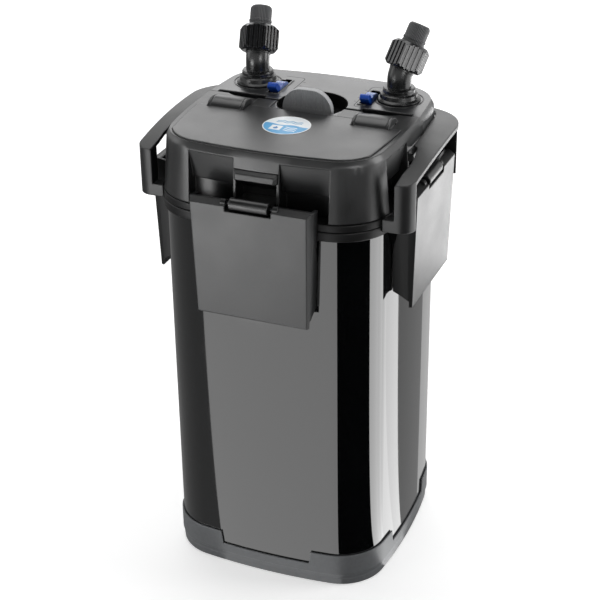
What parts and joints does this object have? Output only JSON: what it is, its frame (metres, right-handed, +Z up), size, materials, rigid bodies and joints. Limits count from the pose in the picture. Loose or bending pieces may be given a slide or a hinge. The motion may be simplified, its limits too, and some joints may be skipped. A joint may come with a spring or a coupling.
{
  "type": "canister filter",
  "caption": "Square canister filter for an aquarium: clipped pump head with a prefilter hatch, hose tails with flow levers, carry handles and stacked media baskets in a can.",
  "frame": {"origin": "centre of the footprint, on the floor under the feet", "axes": "+Z up; -Y is the front, with the hatch; +Y the rear, with the hose tails; +X the right-hand side seen from the front"},
  "size_m": [0.2588, 0.25, 0.4955],
  "materials": {
    "shell_charcoal": "fine-textured moulded plastic",
    "trim_charcoal": "fine-textured moulded plastic",
    "canister_black": "glossy",
    "hose_grey": "satin moulded plastic",
    "nut_grey": "satin moulded plastic",
    "lever_blue": "satin moulded plastic",
    "valve_lavender": "slightly translucent plastic",
    "black_rubber": "matte rubber",
    "steel": "drawn wire",
    "basket_blue_grey": "moulded plastic",
    "foam_black": "open-cell foam",
    "motor_resin": "cast resin",
    "rotor_white": "moulded plastic and magnet",
    "ceramic": "polished ceramic",
    "inner_black": "moulded plastic",
    "media_foam": "open-cell foam"
  },
  "bodies": {
    "housing": {"base_skirt": "shell_charcoal", "rubber_feet": "black_rubber", "canister": "canister_black", "main_seal": "black_rubber", "head_base": "inner_black", "head_shell": "shell_charcoal", "clip_lugs": "shell_charcoal", "catch_bars": "shell_charcoal", "connector_block": "trim_charcoal", "handle_left": "shell_charcoal", "handle_right": "shell_charcoal", "clip_pins": "steel", "hatch_pins": "steel", "lock_lever_pin": "steel", "connector_seals": "black_rubber", "cable_gland": "black_rubber", "prefilter_basket": "basket_blue_grey", "prefilter_sponge": "foam_black", "motor": "motor_resin", "impeller_shaft": "ceramic", "shaft_bushes": "black_rubber", "impeller_cover": "inner_black", "down_tube": "inner_black", "basket_1": "basket_blue_grey", "basket_2": "basket_blue_grey", "basket_3": "basket_blue_grey", "basket_4": "basket_blue_grey", "media_1": "media_foam", "media_2": "media_foam", "media_3": "media_foam", "media_4": "media_foam"},
    "clip_front": {"clip_front": "trim_charcoal"},
    "clip_rear": {"clip_rear": "trim_charcoal"},
    "clip_left": {"clip_left": "trim_charcoal"},
    "clip_right": {"clip_right": "trim_charcoal"},
    "hatch": {"hatch": "trim_charcoal", "hatch_seal": "black_rubber"},
    "lock_lever": {"lock_lever": "trim_charcoal"},
    "valve_left": {"valve_drum_left": "valve_lavender", "valve_spindle_left": "valve_lavender", "flow_lever_left": "lever_blue"},
    "valve_right": {"valve_drum_right": "valve_lavender", "valve_spindle_right": "valve_lavender", "flow_lever_right": "lever_blue"},
    "connector_left": {"connector_left": "hose_grey"},
    "union_nut_left": {"union_nut_left": "nut_grey"},
    "connector_right": {"connector_right": "hose_grey"},
    "union_nut_right": {"union_nut_right": "nut_grey"},
    "impeller": {"impeller": "rotor_white"}
  },
  "joints": [
    {"name": "clip_front_hinge", "type": "hinge", "parent": "housing", "child": "clip_front", "pos_m": [0, -0.1195, 0.386], "axis": [-1, 0, 0], "range_deg": [0, 110]},
    {"name": "clip_rear_hinge", "type": "hinge", "parent": "housing", "child": "clip_rear", "pos_m": [0, 0.1195, 0.386], "axis": [1, 0, 0], "range_deg": [0, 110]},
    {"name": "clip_left_hinge", "type": "hinge", "parent": "housing", "child": "clip_left", "pos_m": [-0.1195, 0, 0.386], "axis": [0, 1, 0], "range_deg": [0, 110]},
    {"name": "clip_right_hinge", "type": "hinge", "parent": "housing", "child": "clip_right", "pos_m": [0.1195, 0, 0.386], "axis": [0, -1, 0], "range_deg": [0, 110]},
    {"name": "hatch_hinge", "type": "hinge", "parent": "housing", "child": "hatch", "pos_m": [0, 0.0005, 0.4265], "axis": [-1, 0, 0], "range_deg": [0, 80]},
    {"name": "lock_lever_hinge", "type": "hinge", "parent": "housing", "child": "lock_lever", "pos_m": [0, 0.0155, 0.4185], "axis": [-1, 0, 0], "range_deg": [0, 80]},
    {"name": "valve_left_turn", "type": "hinge", "parent": "housing", "child": "valve_left", "pos_m": [-0.044, 0.054, 0.417], "axis": [-1, 0, 0], "range_deg": [0, 90]},
    {"name": "valve_right_turn", "type": "hinge", "parent": "housing", "child": "valve_right", "pos_m": [0.044, 0.054, 0.417], "axis": [-1, 0, 0], "range_deg": [0, 90]},
    {"name": "connector_left_swivel", "type": "hinge", "parent": "housing", "child": "connector_left", "pos_m": [-0.069, 0.06, 0.427], "axis": [0, 0, 1], "continuous": true},
    {"name": "union_nut_left_turn", "type": "hinge", "parent": "connector_left", "child": "union_nut_left", "pos_m": [-0.07085, 0.06872, 0.46526], "axis": [-0.104, 0.4891, 0.866], "continuous": true},
    {"name": "connector_right_swivel", "type": "hinge", "parent": "housing", "child": "connector_right", "pos_m": [0.069, 0.06, 0.427], "axis": [0, 0, 1], "continuous": true},
    {"name": "union_nut_right_turn", "type": "hinge", "parent": "connector_right", "child": "union_nut_right", "pos_m": [0.07346, 0.06772, 0.46526], "axis": [0.25, 0.433, 0.866], "continuous": true},
    {"name": "impeller_spin", "type": "hinge", "parent": "housing", "child": "impeller", "pos_m": [0, 0.046, 0.375], "axis": [0, 0, 1], "continuous": true}
  ]
}
